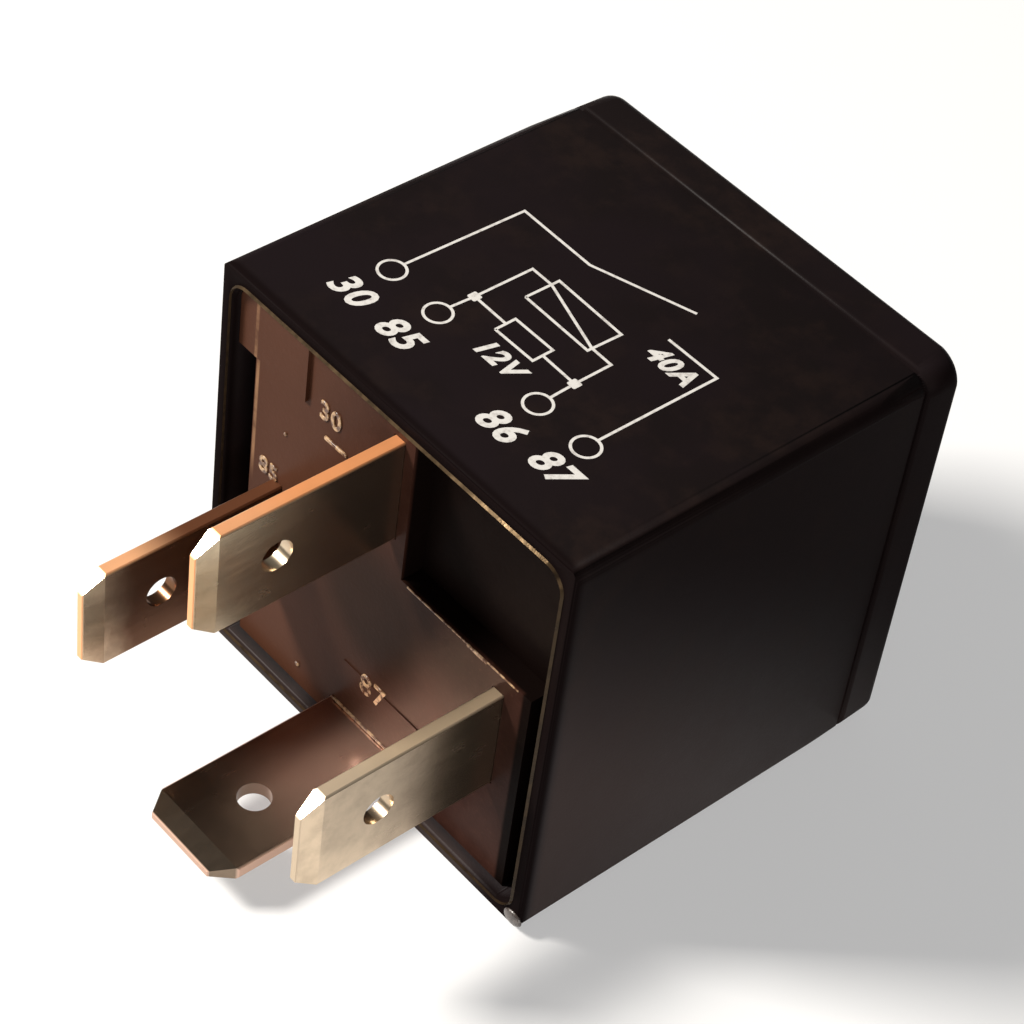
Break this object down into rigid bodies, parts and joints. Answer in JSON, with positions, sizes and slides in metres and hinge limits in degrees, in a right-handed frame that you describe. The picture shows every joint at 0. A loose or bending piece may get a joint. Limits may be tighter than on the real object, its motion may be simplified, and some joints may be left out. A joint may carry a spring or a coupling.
{
  "type": "automotive relay",
  "caption": "Plug-in automotive relay: black moulded cover over a brown base with flat blade terminals, and a coil, yoke, rocking armature and contact pair inside.",
  "frame": {"origin": "centre of the overall box at the level of the plain face that the relay lies on", "axes": "+Z is the normal of the face with the circuit drawing, -Y is the way the blade terminals point, +X runs across the terminal face towards terminal 86"},
  "size_m": [0.026, 0.036, 0.0256],
  "materials": {
    "cover_plastic": "satin black moulding",
    "base_plastic": "glossy red-brown moulding",
    "terminal_brass": "tinned brass, smooth",
    "magnet_iron": "plated soft iron",
    "bobbin_plastic": "natural nylon",
    "winding_copper": "enamelled copper wire",
    "spring_bronze": "rolled phosphor bronze",
    "contact_silver": "silver alloy",
    "braid_copper": "bare copper braid",
    "resistor_lacquer": "lacquered ceramic",
    "tinned_wire": "tinned copper wire",
    "white_ink": "pad-printed ink"
  },
  "bodies": {
    "housing": {"cover": "cover_plastic", "base": "base_plastic", "terminal_30": "terminal_brass", "terminal_85": "terminal_brass", "terminal_86": "terminal_brass", "terminal_87": "terminal_brass", "yoke": "magnet_iron", "core": "magnet_iron", "bobbin": "bobbin_plastic", "coil_winding": "winding_copper", "coil_wire_85": "winding_copper", "coil_wire_86": "winding_copper", "spring_rivets": "magnet_iron", "fixed_contact": "contact_silver", "pigtail": "braid_copper", "resistor_body": "resistor_lacquer", "resistor_lead_85": "tinned_wire", "resistor_lead_86": "tinned_wire"},
    "armature": {"armature": "magnet_iron", "armature_rivets": "magnet_iron", "contact_spring": "spring_bronze", "moving_contact": "contact_silver"}
  },
  "joints": [
    {"name": "armature_rock", "type": "hinge", "parent": "housing", "child": "armature", "pos_m": [0, 0.0122, 0.0218], "axis": [1, 0, 0], "range_deg": [-4, 0], "stiffness_Nm_per_rad": 0.02, "springref_deg": 20.05, "deforming": ["contact_spring", "pigtail"]}
  ]
}
